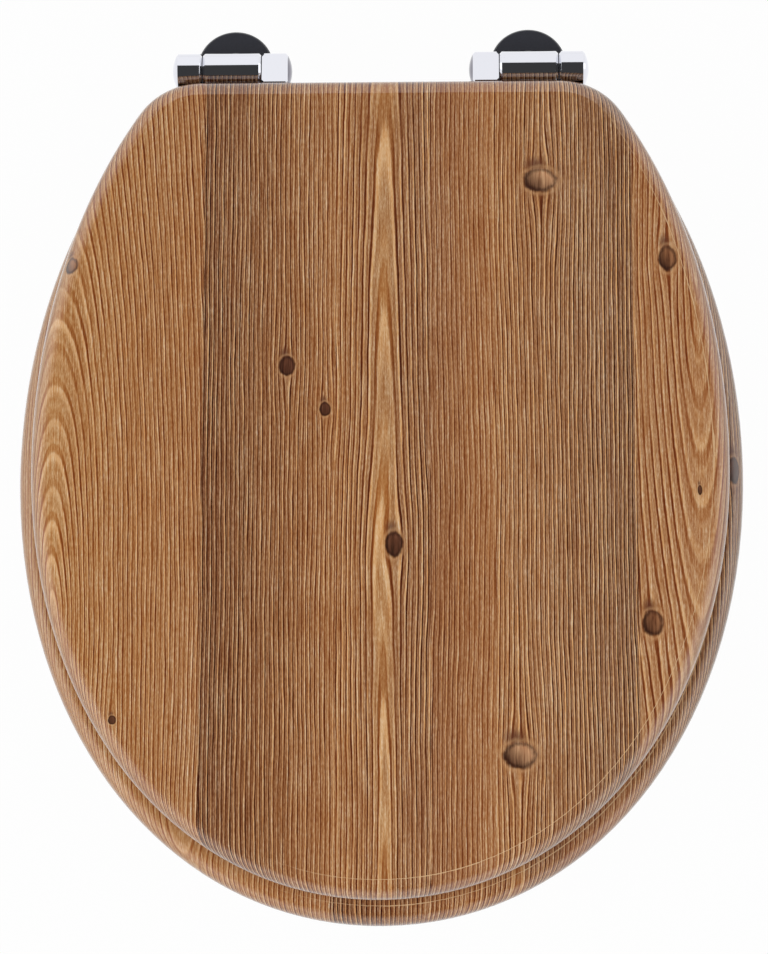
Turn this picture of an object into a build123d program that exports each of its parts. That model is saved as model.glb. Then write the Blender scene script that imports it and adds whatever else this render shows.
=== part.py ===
"""Wood-effect toilet seat: a lid and a ring of rounded board on two soft-close hinges.

Millimetres, +Z up, front towards -Y. The origin lies midway between the two fixing studs,
on the top of the pan. The right-hand hinge is modelled and its pieces are mirrored to the left.
"""
import os
from math import asin, atan2, cos, degrees, radians, sin

from build123d import *

os.makedirs("parts", exist_ok=True)

# Fixing to the pan
FIXING_PITCH = 155.0  # between the two studs
STUD_R = 4.0
STUD_SHANK = 18.0  # plain length below the pan's top, the pan's usual thickness
STUD_THREAD_R = 3.7
STUD_THREAD_LENGTH = 40.0
STUD_POINT = 1.5  # chamfer at the stud's lower end
STUD_SOCKET_FLATS = 5.0  # hexagon socket in the stud's head
STUD_SOCKET_DEPTH = 2.2

# Heights of the boards
BUFFER_HEIGHT = 9.0  # ring's underside above the pan
RING_THICK = 18.0
LID_GAP = 6.0
LID_THICK = 18.0
EDGE_FLAT = 0.4  # upright strip left between the two edge roundings

# Outlines of the boards
WIDEST_Y = -227.0  # where lid and ring are widest
LID_HALF_WIDTH = 176.7
LID_FRONT_REACH = 223.5  # from the widest line to the front
LID_BACK_REACH = 263.0  # half-length of the ellipse that the back edge cuts off
LID_CORNER_R = 38.0
RING_SIDE_OVERHANG = 8.3
RING_FRONT_OVERHANG = 9.3
RING_BACK_REACH = 255.0  # shorter than the lid's, so the ring draws in under the lid's back corners
RING_CORNER_R = 36.0
FRONT_FULLNESS = 0.573  # length of the front curve's handles as a share of its reach; 0.552 is an ellipse
OPENING_WIDEST_Y = -240.0
OPENING_HALF_WIDTH = 112.0
OPENING_FRONT_REACH = 154.0
OPENING_BACK_REACH = 134.0

# Hinge axis
AXIS_AHEAD = 12.5  # hinge axis ahead of the studs
AXIS_BELOW_LID = 2.5  # hinge axis below the lid's underside
BACK_EDGE_AHEAD = 11.2  # back edge of lid and ring ahead of the hinge axis

# Hinge barrel and knuckles
BARREL_R = 9.5
BARREL_LENGTH = 30.4
KNUCKLE_LENGTH = 13.6
KNUCKLE_GAP = 0.5
KNUCKLE_CHAMFER = 1.1
LID_BLOCK_AHEAD = 8.4  # front face of the lid arm's flat-topped block, ahead of the axis
NECK_R = 8.0

# Base under each hinge
PAD_R = 19.4
PAD_THICK = 1.2
PAD_HOLE_R = 6.0
DISC_R = 20.0
DISC_THICK = 3.8
DISC_CHAMFER = 0.9
POST_R = 4.5
POST_FOOT_R = 6.2
POST_FOOT_THICK = 1.4
POST_HEIGHT = 14.5  # above the disc
POST_GROOVE_DEPTH = 0.7
GRUB_R = 2.0
GRUB_HEIGHT = 8.0  # grub screw above the disc
GRUB_SINK = 0.3  # grub screw's end below the neck's surface
GRUB_SOCKET_FLATS = 2.0
GRUB_SOCKET_DEPTH = 1.6

# Fixing kit below the pan
CONE_TOP_R = 6.5
CONE_BASE_R = 11.5
CONE_HEIGHT = 9.0
NUT_R = 8.5
NUT_HEIGHT = 14.0
WING_SPAN = 38.0
WING_HEIGHT = 10.0
WING_THICK = 4.0

# Dampers in the barrel
DAMPER_R = 7.0
DAMPER_LENGTH = 13.5
DAMPER_END_WALL = 2.0
DAMPER_KEY_WIDTH = 2.4
DAMPER_KEY_HEIGHT = 0.8
ROTOR_R = 4.6
SHAFT_R = 3.2
SHAFT_FLATS = 4.6
SHAFT_GRIP = 8.0  # length of the flats inside a knuckle

# Arms, their screws and end caps
LEAF_THICK = 2.8
LEAF_WIDTH = 22.0
LEAF_REACH = 66.0  # from the hinge axis to the leaf's front end
LEAF_CORNER_R = 5.0
LEAF_START = 16.0  # where the leaf widens, ahead of the hinge axis
SCREW_R = 1.9
SCREW_HEAD_R = 3.9
SCREW_LENGTH = 16.0
SCREW_TIP = 3.5
SCREW_EDGE = 8.0  # first and last screw from the ends of the leaf's wide part
SCREW_STAGGER = 4.0  # screws alternate about the leaf's middle line
SCREW_POINT_R = 0.3
SCREW_CROSS_SPAN = 4.2
SCREW_CROSS_WIDTH = 1.0
SCREW_CROSS_DEPTH = 1.2
CAP_R = 8.2
CAP_BULGE = 2.0
CAP_SPIGOT_R = 6.0
CAP_SPIGOT_LENGTH = 3.5

# Rubber buffers
RING_BUFFER_LENGTH = 28.0
RING_BUFFER_WIDTH = 13.0
RING_BUFFER_ROUND = 1.5
LID_BUFFER_R = 7.5
LID_BUFFER_ROUND = 1.2
BUFFER_SPIGOT_R = 3.0
BUFFER_SPIGOT_LENGTH = 8.0
RING_BUFFER_ANGLES = {"front": -62.0, "back": 38.0}  # round the oval, from its widest line
LID_BUFFER_ANGLES = {"front": -72.0, "back": 14.0}

# Clearances
SLIP = 0.05  # between pieces fixed together
RUNNING = 0.06  # radial, between pieces that turn on each other
END_PLAY = 0.3  # along the axis, between pieces that turn on each other
REST_CLEAR = 0.3  # lid buffers above the ring

# Worked-out places
RING_TOP = BUFFER_HEIGHT + RING_THICK
LID_BOTTOM = RING_TOP + LID_GAP
RING_EDGE_R = (RING_THICK - EDGE_FLAT) / 2
LID_EDGE_R = (LID_THICK - EDGE_FLAT) / 2
RING_HALF_WIDTH = LID_HALF_WIDTH + RING_SIDE_OVERHANG
RING_FRONT_REACH = LID_FRONT_REACH + RING_FRONT_OVERHANG
HINGE_X = FIXING_PITCH / 2
AXIS_Y = -AXIS_AHEAD
AXIS_Z = LID_BOTTOM - AXIS_BELOW_LID
BACK_Y = AXIS_Y - BACK_EDGE_AHEAD
DISC_TOP = PAD_THICK + DISC_THICK
BARREL_INNER = HINGE_X - BARREL_LENGTH / 2
BARREL_OUTER = HINGE_X + BARREL_LENGTH / 2
LID_KNUCKLE_INNER = BARREL_INNER - KNUCKLE_GAP - KNUCKLE_LENGTH
RING_KNUCKLE_INNER = BARREL_OUTER + KNUCKLE_GAP
LID_ARM_X = LID_KNUCKLE_INNER + KNUCKLE_LENGTH / 2
RING_ARM_X = RING_KNUCKLE_INNER + KNUCKLE_LENGTH / 2
LEAF_MID_AHEAD = (LEAF_START + LEAF_REACH) / 2
STRAP_START = (CAP_SPIGOT_R + BARREL_R) / 2  # strap's root inside the knuckle, clear of the cap's seat
STRAP_LENGTH = LEAF_START + LEAF_CORNER_R - STRAP_START
HINGE_AXIS = Axis((0, AXIS_Y, AXIS_Z), (1, 0, 0))


def save(piece, name):
    """Label a finished piece and write it."""
    piece.label = name
    export_step(piece, f"parts/{name}.step")


def save_pair(piece, name):
    """Write a right-hand piece and its mirror image on the left."""
    save(mirror(piece, about=Plane.YZ, mode=Mode.PRIVATE), f"{name}_left")
    save(piece, f"{name}_right")


def board_outline(half_width, front_reach, back_reach):
    """Full round front, elliptical sides behind it, and the straight back edge that cuts them off."""
    corner = degrees(asin((BACK_Y - WIDEST_Y) / back_reach))
    centre = (0, WIDEST_Y)
    front_y = WIDEST_Y - front_reach
    side_handle_y = WIDEST_Y - FRONT_FULLNESS * front_reach
    nose_handle_x = FRONT_FULLNESS * half_width
    with BuildSketch() as outline:
        with BuildLine():
            for side in (-1, 1):
                Bezier(
                    (side * half_width, WIDEST_Y),
                    (side * half_width, side_handle_y),
                    (side * nose_handle_x, front_y),
                    (0, front_y),
                )
            right = EllipticalCenterArc(centre, half_width, back_reach, 0, arc_size=corner)
            left = EllipticalCenterArc(centre, half_width, back_reach, 180 - corner, arc_size=corner)
            Line(right @ 1, left @ 0)
        make_face()
    return outline.sketch


def ring_middle(angle):
    """Point halfway between the ring's outer edge and its opening, and the ring's direction there."""
    turn = radians(angle)
    front = angle < 0
    outer_reach = RING_FRONT_REACH if front else RING_BACK_REACH
    inner_reach = OPENING_FRONT_REACH if front else OPENING_BACK_REACH
    x_reach = (RING_HALF_WIDTH + OPENING_HALF_WIDTH) / 2
    y_reach = (outer_reach + inner_reach) / 2
    middle_y = (WIDEST_Y + OPENING_WIDEST_Y) / 2
    heading = degrees(atan2(y_reach * cos(turn), -x_reach * sin(turn)))
    return x_reach * cos(turn), middle_y + y_reach * sin(turn), heading


def screw_points(arm_x):
    """Three screws along a leaf, alternating about its middle line."""
    start = AXIS_Y - LEAF_START - SCREW_EDGE
    end = AXIS_Y - LEAF_REACH + SCREW_EDGE
    return [
        (arm_x - SCREW_STAGGER, start),
        (arm_x + SCREW_STAGGER, (start + end) / 2),
        (arm_x - SCREW_STAGGER, end),
    ]


def mirrored(points):
    """Points and their mirror images across the seat's middle."""
    return [(side * x, y) for x, y in points for side in (-1, 1)]


def leaf_outline(arm_x):
    """An arm's leaf from above: a strap from the knuckle and a wide part with rounded corners."""
    with BuildSketch() as outline:
        with Locations((arm_x, AXIS_Y - LEAF_MID_AHEAD)):
            RectangleRounded(LEAF_WIDTH, LEAF_REACH - LEAF_START, LEAF_CORNER_R)
        with Locations((arm_x, AXIS_Y - STRAP_START)):
            Rectangle(KNUCKLE_LENGTH, STRAP_LENGTH, align=(Align.CENTER, Align.MAX))
    return outline.sketch


def shaft_section(clear):
    """A damper shaft's two flats, in the plane across the hinge axis."""
    with BuildSketch() as section:
        with Locations((AXIS_Y, AXIS_Z)):
            Circle(SHAFT_R + clear)
            Rectangle(2 * BARREL_R, SHAFT_FLATS + 2 * clear, mode=Mode.INTERSECT)
    return section.sketch


def wood_screws(points, head_z, way):
    """Countersunk screws with flush heads at head_z, pointing up (way 1) or down (way -1)."""
    head = Plane((0, 0, head_z), x_dir=(1, 0, 0), z_dir=(0, 0, way))
    places = [(x, way * y) for x, y in points]
    with BuildPart() as screws:
        with BuildSketch(head):
            with Locations(*places):
                Circle(SCREW_HEAD_R)
        extrude(amount=SCREW_HEAD_R - SCREW_R, taper=45)
        with BuildSketch(head):
            with Locations(*places):
                Circle(SCREW_R)
        extrude(amount=SCREW_LENGTH - SCREW_TIP)
        with BuildSketch(head.offset(SCREW_LENGTH - SCREW_TIP)):
            with Locations(*places):
                Circle(SCREW_R)
        extrude(amount=SCREW_TIP, taper=degrees(atan2(SCREW_R - SCREW_POINT_R, SCREW_TIP)))
        with BuildSketch(head):
            with Locations(*places):
                Rectangle(SCREW_CROSS_SPAN, SCREW_CROSS_WIDTH)
                Rectangle(SCREW_CROSS_WIDTH, SCREW_CROSS_SPAN)
        extrude(amount=SCREW_CROSS_DEPTH, mode=Mode.SUBTRACT)
    return screws.part


def end_cap(face_x, way):
    """Domed cap on a knuckle's end face, with its spigot in the knuckle."""
    with BuildPart() as cap:
        with BuildSketch(Plane.XY.offset(AXIS_Z)):
            with BuildLine():
                tip = (face_x + way * CAP_BULGE, AXIS_Y)
                rim = (face_x, AXIS_Y + CAP_R)
                TangentArc(tip, rim, tangent=(0, 1))
                Polyline(
                    rim,
                    (face_x, AXIS_Y + CAP_SPIGOT_R),
                    (face_x - way * CAP_SPIGOT_LENGTH, AXIS_Y + CAP_SPIGOT_R),
                    (face_x - way * CAP_SPIGOT_LENGTH, AXIS_Y),
                    tip,
                )
            make_face()
        revolve(axis=HINGE_AXIS)
    return cap.part


# Lid
LID_BUFFER_POINTS = {place: ring_middle(angle) for place, angle in LID_BUFFER_ANGLES.items()}
with BuildPart() as lid:
    with BuildSketch(Plane.XY.offset(LID_BOTTOM)):
        add(board_outline(LID_HALF_WIDTH, LID_FRONT_REACH, LID_BACK_REACH))
    extrude(amount=LID_THICK)
    fillet(lid.edges().filter_by(Axis.Z).sort_by(Axis.Y)[-2:], LID_CORNER_R)
    fillet(lid.faces().sort_by(Axis.Z)[-1].edges(), LID_EDGE_R)
    fillet(lid.faces().sort_by(Axis.Z)[0].edges(), LID_EDGE_R)
    with BuildSketch(Plane.XY.offset(LID_BOTTOM)):
        with Locations(*mirrored(screw_points(LID_ARM_X))):
            Circle(SCREW_R + SLIP)
    extrude(amount=SCREW_LENGTH - LEAF_THICK + SLIP, mode=Mode.SUBTRACT)
    with BuildSketch(Plane.XY.offset(LID_BOTTOM)):
        with Locations(*mirrored([point[:2] for point in LID_BUFFER_POINTS.values()])):
            Circle(BUFFER_SPIGOT_R + SLIP)
    extrude(amount=BUFFER_SPIGOT_LENGTH + SLIP, mode=Mode.SUBTRACT)
save(lid.part, "lid")

# Ring
RING_BUFFER_POINTS = {place: ring_middle(angle) for place, angle in RING_BUFFER_ANGLES.items()}
with BuildPart() as seat_ring:
    with BuildSketch(Plane.XY.offset(BUFFER_HEIGHT)):
        add(board_outline(RING_HALF_WIDTH, RING_FRONT_REACH, RING_BACK_REACH))
    extrude(amount=RING_THICK)
    fillet(seat_ring.edges().filter_by(Axis.Z).sort_by(Axis.Y)[-2:], RING_CORNER_R)
    with BuildSketch(Plane.XY.offset(BUFFER_HEIGHT)):
        with BuildLine():
            centre = (0, OPENING_WIDEST_Y)
            EllipticalCenterArc(centre, OPENING_HALF_WIDTH, OPENING_FRONT_REACH, 180, arc_size=180)
            EllipticalCenterArc(centre, OPENING_HALF_WIDTH, OPENING_BACK_REACH, 0, arc_size=180)
        make_face()
    extrude(amount=RING_THICK, mode=Mode.SUBTRACT)
    fillet(seat_ring.faces().sort_by(Axis.Z)[-1].edges(), RING_EDGE_R)
    fillet(seat_ring.faces().sort_by(Axis.Z)[0].edges(), RING_EDGE_R)
    with BuildSketch(Plane.XY.offset(RING_TOP)):
        with Locations(*mirrored(screw_points(RING_ARM_X))):
            Circle(SCREW_R + SLIP)
    extrude(amount=-(SCREW_LENGTH - LEAF_THICK + SLIP), mode=Mode.SUBTRACT)
    with BuildSketch(Plane.XY.offset(BUFFER_HEIGHT)):
        with Locations(*mirrored([point[:2] for point in RING_BUFFER_POINTS.values()])):
            Circle(BUFFER_SPIGOT_R + SLIP)
    extrude(amount=BUFFER_SPIGOT_LENGTH + SLIP, mode=Mode.SUBTRACT)
save(seat_ring.part, "seat_ring")

# Buffers under the ring
for place, (x, y, heading) in RING_BUFFER_POINTS.items():
    with BuildPart() as ring_buffer:
        with BuildSketch():
            with Locations((x, y)):
                SlotOverall(RING_BUFFER_LENGTH, RING_BUFFER_WIDTH, rotation=heading)
        extrude(amount=BUFFER_HEIGHT)
        fillet(ring_buffer.faces().sort_by(Axis.Z)[0].edges(), RING_BUFFER_ROUND)
        with BuildSketch(Plane.XY.offset(BUFFER_HEIGHT)):
            with Locations((x, y)):
                Circle(BUFFER_SPIGOT_R)
        extrude(amount=BUFFER_SPIGOT_LENGTH)
    save_pair(ring_buffer.part, f"ring_buffer_{place}")

# Buffers under the lid
for place, (x, y, heading) in LID_BUFFER_POINTS.items():
    with BuildPart() as lid_buffer:
        with BuildSketch(Plane.XY.offset(LID_BOTTOM)):
            with Locations((x, y)):
                Circle(LID_BUFFER_R)
        extrude(amount=-(LID_GAP - REST_CLEAR))
        fillet(lid_buffer.faces().sort_by(Axis.Z)[0].edges(), LID_BUFFER_ROUND)
        with BuildSketch(Plane.XY.offset(LID_BOTTOM)):
            with Locations((x, y)):
                Circle(BUFFER_SPIGOT_R)
        extrude(amount=BUFFER_SPIGOT_LENGTH)
    save_pair(lid_buffer.part, f"lid_buffer_{place}")

# Rubber pad under the base disc
with BuildPart() as base_pad:
    with BuildSketch():
        with Locations((HINGE_X, 0)):
            Circle(PAD_R)
            Circle(PAD_HOLE_R, mode=Mode.SUBTRACT)
    extrude(amount=PAD_THICK)
save_pair(base_pad.part, "base_pad")

# Base disc, with a countersink for the stud and a stepped hole for the post
with BuildPart() as base_disc:
    with BuildSketch(Plane.XY.offset(PAD_THICK)):
        with Locations((HINGE_X, 0)):
            Circle(DISC_R)
    extrude(amount=DISC_THICK)
    chamfer(base_disc.faces().sort_by(Axis.Z)[-1].edges(), DISC_CHAMFER)
    with Locations((HINGE_X, 0, PAD_THICK + DISC_THICK / 2)):
        Cone(STUD_R + SLIP, STUD_R + DISC_THICK + SLIP, DISC_THICK, mode=Mode.SUBTRACT)
    with BuildSketch(Plane.XY.offset(PAD_THICK)):
        with Locations((HINGE_X, AXIS_Y)):
            Circle(POST_R + SLIP)
    extrude(amount=DISC_THICK, mode=Mode.SUBTRACT)
    with BuildSketch(Plane.XY.offset(PAD_THICK)):
        with Locations((HINGE_X, AXIS_Y)):
            Circle(POST_FOOT_R + SLIP)
    extrude(amount=POST_FOOT_THICK, mode=Mode.SUBTRACT)
save_pair(base_disc.part, "base_disc")

# Fixing stud with a countersunk head
with BuildPart() as fixing_stud:
    with Locations((HINGE_X, 0, PAD_THICK + DISC_THICK / 2)):
        Cone(STUD_R, STUD_R + DISC_THICK, DISC_THICK)
    with BuildSketch(Plane.XY.offset(DISC_TOP)):
        with Locations((HINGE_X, 0)):
            RegularPolygon(STUD_SOCKET_FLATS / 2, 6, major_radius=False)
    extrude(amount=-STUD_SOCKET_DEPTH, mode=Mode.SUBTRACT)
    with BuildSketch(Plane.XY.offset(PAD_THICK)):
        with Locations((HINGE_X, 0)):
            Circle(STUD_R)
    extrude(amount=-(PAD_THICK + STUD_SHANK))
    with BuildSketch(Plane.XY.offset(-STUD_SHANK)):
        with Locations((HINGE_X, 0)):
            Circle(STUD_THREAD_R)
    extrude(amount=-STUD_THREAD_LENGTH)
    chamfer(fixing_stud.edges().sort_by(Axis.Z)[0], STUD_POINT)
save_pair(fixing_stud.part, "fixing_stud")

# Rubber cone washer, drawn up into the pan's hole by the nut
with BuildPart() as cone_washer:
    with Locations((HINGE_X, 0, -STUD_SHANK - CONE_HEIGHT / 2)):
        Cone(CONE_BASE_R, CONE_TOP_R, CONE_HEIGHT)
    with BuildSketch(Plane.XY.offset(-STUD_SHANK)):
        with Locations((HINGE_X, 0)):
            Circle(STUD_THREAD_R + SLIP)
    extrude(amount=-CONE_HEIGHT, mode=Mode.SUBTRACT)
save_pair(cone_washer.part, "cone_washer")

# Wing nut
NUT_TOP = -STUD_SHANK - CONE_HEIGHT
with BuildPart() as wing_nut:
    with BuildSketch(Plane.XY.offset(NUT_TOP)):
        with Locations((HINGE_X, 0)):
            Circle(NUT_R)
    extrude(amount=-NUT_HEIGHT)
    with BuildSketch(Plane.XY.offset(NUT_TOP - NUT_HEIGHT)):
        with Locations((HINGE_X, 0)):
            SlotOverall(WING_SPAN, WING_THICK)
    extrude(amount=WING_HEIGHT)
    with BuildSketch(Plane.XY.offset(NUT_TOP)):
        with Locations((HINGE_X, 0)):
            Circle(STUD_THREAD_R + SLIP)
    extrude(amount=-NUT_HEIGHT, mode=Mode.SUBTRACT)
save_pair(wing_nut.part, "wing_nut")

# Hinge post, held in the disc by its foot and grooved for the grub screw
POST_GROOVE_HALF = GRUB_R + SLIP
with BuildPart() as hinge_post:
    with BuildSketch(Plane.XY.offset(PAD_THICK)):
        with Locations((HINGE_X, AXIS_Y)):
            Circle(POST_FOOT_R)
    extrude(amount=POST_FOOT_THICK)
    with BuildSketch(Plane.XY.offset(PAD_THICK)):
        with Locations((HINGE_X, AXIS_Y)):
            Circle(POST_R)
    extrude(amount=DISC_THICK + POST_HEIGHT)
    chamfer(hinge_post.faces().sort_by(Axis.Z)[-1].edges(), POST_GROOVE_DEPTH)
    with BuildSketch(Plane.XY.offset(DISC_TOP + GRUB_HEIGHT - POST_GROOVE_HALF)):
        with Locations((HINGE_X, AXIS_Y)):
            Circle(POST_R)
            Circle(POST_R - POST_GROOVE_DEPTH, mode=Mode.SUBTRACT)
    extrude(amount=2 * POST_GROOVE_HALF, mode=Mode.SUBTRACT)
save_pair(hinge_post.part, "hinge_post")

# Hinge barrel: its neck drops over the post, and its two bores take the dampers
GRUB_PLANE = Plane(origin=(HINGE_X, AXIS_Y, DISC_TOP + GRUB_HEIGHT), x_dir=(1, 0, 0), z_dir=(0, 1, 0))
DAMPER_MOUTHS = {"ring": (BARREL_OUTER, -1), "lid": (BARREL_INNER, 1)}  # end face and way in
with BuildPart() as hinge_barrel:
    with BuildSketch(Plane.YZ.offset(BARREL_INNER)):
        with Locations((AXIS_Y, AXIS_Z)):
            Circle(BARREL_R)
    extrude(amount=BARREL_LENGTH)
    chamfer(hinge_barrel.edges().filter_by(GeomType.CIRCLE), KNUCKLE_CHAMFER)
    with BuildSketch(Plane.XY.offset(DISC_TOP)):
        with Locations((HINGE_X, AXIS_Y)):
            Circle(NECK_R)
    extrude(amount=AXIS_Z - DISC_TOP)
    with BuildSketch(Plane.XY.offset(DISC_TOP)):
        with Locations((HINGE_X, AXIS_Y)):
            Circle(POST_R + SLIP)
    extrude(amount=POST_HEIGHT + SLIP, mode=Mode.SUBTRACT)
    with BuildSketch(GRUB_PLANE):
        Circle(GRUB_R + SLIP)
    extrude(amount=NECK_R, mode=Mode.SUBTRACT)
    for mouth, way_in in DAMPER_MOUTHS.values():
        with BuildSketch(Plane.YZ.offset(mouth)):
            with Locations((AXIS_Y, AXIS_Z)):
                Circle(DAMPER_R + SLIP)
            with Locations((AXIS_Y, AXIS_Z + DAMPER_R)):
                Rectangle(DAMPER_KEY_WIDTH + 2 * SLIP, 2 * (DAMPER_KEY_HEIGHT + SLIP))
        extrude(amount=way_in * (DAMPER_LENGTH + SLIP), mode=Mode.SUBTRACT)
save_pair(hinge_barrel.part, "hinge_barrel")

# Grub screw in the back of the neck
with BuildPart() as grub_screw:
    with BuildSketch(GRUB_PLANE.offset(POST_R - POST_GROOVE_DEPTH + SLIP)):
        Circle(GRUB_R)
    extrude(amount=NECK_R - GRUB_SINK - POST_R + POST_GROOVE_DEPTH - SLIP)
    with BuildSketch(GRUB_PLANE.offset(NECK_R - GRUB_SINK)):
        RegularPolygon(GRUB_SOCKET_FLATS / 2, 6, major_radius=False)
    extrude(amount=-GRUB_SOCKET_DEPTH, mode=Mode.SUBTRACT)
save_pair(grub_screw.part, "grub_screw")

# Dampers: a housing keyed in the barrel, and a shaft whose flats turn with an arm
ROTOR_LENGTH = DAMPER_LENGTH - DAMPER_END_WALL - 2 * END_PLAY
for board, (mouth, way_in) in DAMPER_MOUTHS.items():
    with BuildPart() as damper:
        with BuildSketch(Plane.YZ.offset(mouth)):
            with Locations((AXIS_Y, AXIS_Z)):
                Circle(DAMPER_R)
            with Locations((AXIS_Y, AXIS_Z + DAMPER_R)):
                Rectangle(DAMPER_KEY_WIDTH, 2 * DAMPER_KEY_HEIGHT)
        extrude(amount=way_in * DAMPER_LENGTH)
        with BuildSketch(Plane.YZ.offset(mouth + way_in * DAMPER_END_WALL)):
            with Locations((AXIS_Y, AXIS_Z)):
                Circle(ROTOR_R + RUNNING)
        extrude(amount=way_in * (DAMPER_LENGTH - DAMPER_END_WALL), mode=Mode.SUBTRACT)
        with BuildSketch(Plane.YZ.offset(mouth)):
            with Locations((AXIS_Y, AXIS_Z)):
                Circle(SHAFT_R + RUNNING)
        extrude(amount=way_in * DAMPER_END_WALL, mode=Mode.SUBTRACT)
    save_pair(damper.part, f"{board}_damper")

    with BuildPart() as damper_shaft:
        with BuildSketch(Plane.YZ.offset(mouth + way_in * (DAMPER_END_WALL + END_PLAY))):
            with Locations((AXIS_Y, AXIS_Z)):
                Circle(ROTOR_R)
        extrude(amount=way_in * ROTOR_LENGTH)
        with BuildSketch(Plane.YZ.offset(mouth - way_in * KNUCKLE_GAP)):
            with Locations((AXIS_Y, AXIS_Z)):
                Circle(SHAFT_R)
        extrude(amount=way_in * (KNUCKLE_GAP + DAMPER_END_WALL + END_PLAY))
        with BuildSketch(Plane.YZ.offset(mouth - way_in * KNUCKLE_GAP)):
            add(shaft_section(0))
        extrude(amount=-way_in * SHAFT_GRIP)
    save_pair(damper_shaft.part, f"{board}_damper_shaft")


# Ring arm: a round knuckle with its leaf on the ring
with BuildPart() as ring_arm:
    with BuildSketch(Plane.YZ.offset(RING_KNUCKLE_INNER)):
        with Locations((AXIS_Y, AXIS_Z)):
            Circle(BARREL_R)
    extrude(amount=KNUCKLE_LENGTH)
    chamfer(ring_arm.edges().filter_by(GeomType.CIRCLE), KNUCKLE_CHAMFER)
    with BuildSketch(Plane.XY.offset(RING_TOP)):
        add(leaf_outline(RING_ARM_X))
    extrude(amount=LEAF_THICK)
    with BuildSketch(Plane.YZ.offset(RING_KNUCKLE_INNER)):
        add(shaft_section(SLIP))
    extrude(amount=KNUCKLE_LENGTH, mode=Mode.SUBTRACT)
    with BuildSketch(Plane.YZ.offset(RING_KNUCKLE_INNER + KNUCKLE_LENGTH)):
        with Locations((AXIS_Y, AXIS_Z)):
            Circle(CAP_SPIGOT_R + SLIP)
    extrude(amount=-(CAP_SPIGOT_LENGTH + SLIP), mode=Mode.SUBTRACT)
    with Locations(*[(x, y, RING_TOP + LEAF_THICK) for x, y in screw_points(RING_ARM_X)]):
        CounterSinkHole(SCREW_R + SLIP, SCREW_HEAD_R + SLIP, LEAF_THICK, 90)
save_pair(ring_arm.part, "ring_arm")

# Lid arm: a flat-topped block at the knuckle, with its leaf under the lid
LID_LEAF_BOTTOM = LID_BOTTOM - LEAF_THICK
with BuildPart() as lid_arm:
    with BuildSketch(Plane.YZ.offset(LID_KNUCKLE_INNER)):
        with Locations((AXIS_Y, AXIS_Z)):
            Circle(BARREL_R)
        with Locations((AXIS_Y, AXIS_Z + BARREL_R)):
            Rectangle(LID_BLOCK_AHEAD, AXIS_Z + BARREL_R - LID_LEAF_BOTTOM, align=(Align.MAX, Align.MAX))
    extrude(amount=KNUCKLE_LENGTH)
    ends = lid_arm.faces().filter_by(Axis.X).sort_by(Axis.X)
    chamfer(ends[0].edges() + ends[-1].edges(), KNUCKLE_CHAMFER)
    with BuildSketch(Plane.XY.offset(LID_LEAF_BOTTOM)):
        add(leaf_outline(LID_ARM_X))
    extrude(amount=LEAF_THICK)
    with BuildSketch(Plane.YZ.offset(LID_KNUCKLE_INNER)):
        add(shaft_section(SLIP))
    extrude(amount=KNUCKLE_LENGTH, mode=Mode.SUBTRACT)
    with BuildSketch(Plane.YZ.offset(LID_KNUCKLE_INNER)):
        with Locations((AXIS_Y, AXIS_Z)):
            Circle(CAP_SPIGOT_R + SLIP)
    extrude(amount=CAP_SPIGOT_LENGTH + SLIP, mode=Mode.SUBTRACT)
    with Locations(*[Location((x, y, LID_LEAF_BOTTOM), (180, 0, 0)) for x, y in screw_points(LID_ARM_X)]):
        CounterSinkHole(SCREW_R + SLIP, SCREW_HEAD_R + SLIP, LEAF_THICK, 90)
save_pair(lid_arm.part, "lid_arm")

# Screws of the arms and caps on their outer ends
save_pair(wood_screws(screw_points(RING_ARM_X), RING_TOP + LEAF_THICK, -1), "ring_arm_screws")
save_pair(wood_screws(screw_points(LID_ARM_X), LID_LEAF_BOTTOM, 1), "lid_arm_screws")
save_pair(end_cap(RING_KNUCKLE_INNER + KNUCKLE_LENGTH, 1), "ring_arm_cap")
save_pair(end_cap(LID_KNUCKLE_INNER, -1), "lid_arm_cap")
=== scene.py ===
"""Finish, light and camera for the wood-effect toilet seat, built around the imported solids."""
from collections import namedtuple
import math

import bpy
from mathutils import Matrix, Vector


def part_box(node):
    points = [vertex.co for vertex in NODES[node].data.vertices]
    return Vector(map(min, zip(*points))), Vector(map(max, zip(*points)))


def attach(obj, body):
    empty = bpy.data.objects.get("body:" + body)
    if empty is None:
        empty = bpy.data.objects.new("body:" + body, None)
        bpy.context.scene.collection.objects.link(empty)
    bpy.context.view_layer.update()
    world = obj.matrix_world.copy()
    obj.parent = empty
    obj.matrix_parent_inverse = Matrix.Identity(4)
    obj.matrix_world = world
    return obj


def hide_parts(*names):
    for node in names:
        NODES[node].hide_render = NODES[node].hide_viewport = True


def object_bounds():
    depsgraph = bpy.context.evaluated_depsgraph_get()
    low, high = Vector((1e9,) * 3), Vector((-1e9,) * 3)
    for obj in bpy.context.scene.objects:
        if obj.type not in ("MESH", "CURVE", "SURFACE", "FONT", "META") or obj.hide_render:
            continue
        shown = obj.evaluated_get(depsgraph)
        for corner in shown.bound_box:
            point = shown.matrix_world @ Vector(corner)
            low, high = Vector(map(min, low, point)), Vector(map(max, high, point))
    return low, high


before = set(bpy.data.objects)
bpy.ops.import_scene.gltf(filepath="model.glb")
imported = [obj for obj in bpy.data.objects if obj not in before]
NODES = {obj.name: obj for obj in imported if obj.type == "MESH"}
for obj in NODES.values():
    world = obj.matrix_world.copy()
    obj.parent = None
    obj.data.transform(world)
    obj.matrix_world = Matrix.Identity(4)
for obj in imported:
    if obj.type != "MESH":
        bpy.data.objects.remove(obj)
CAD_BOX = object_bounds()
SIDES = ("left", "right")
MM = 1000.0  # millimetres in a metre

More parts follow.
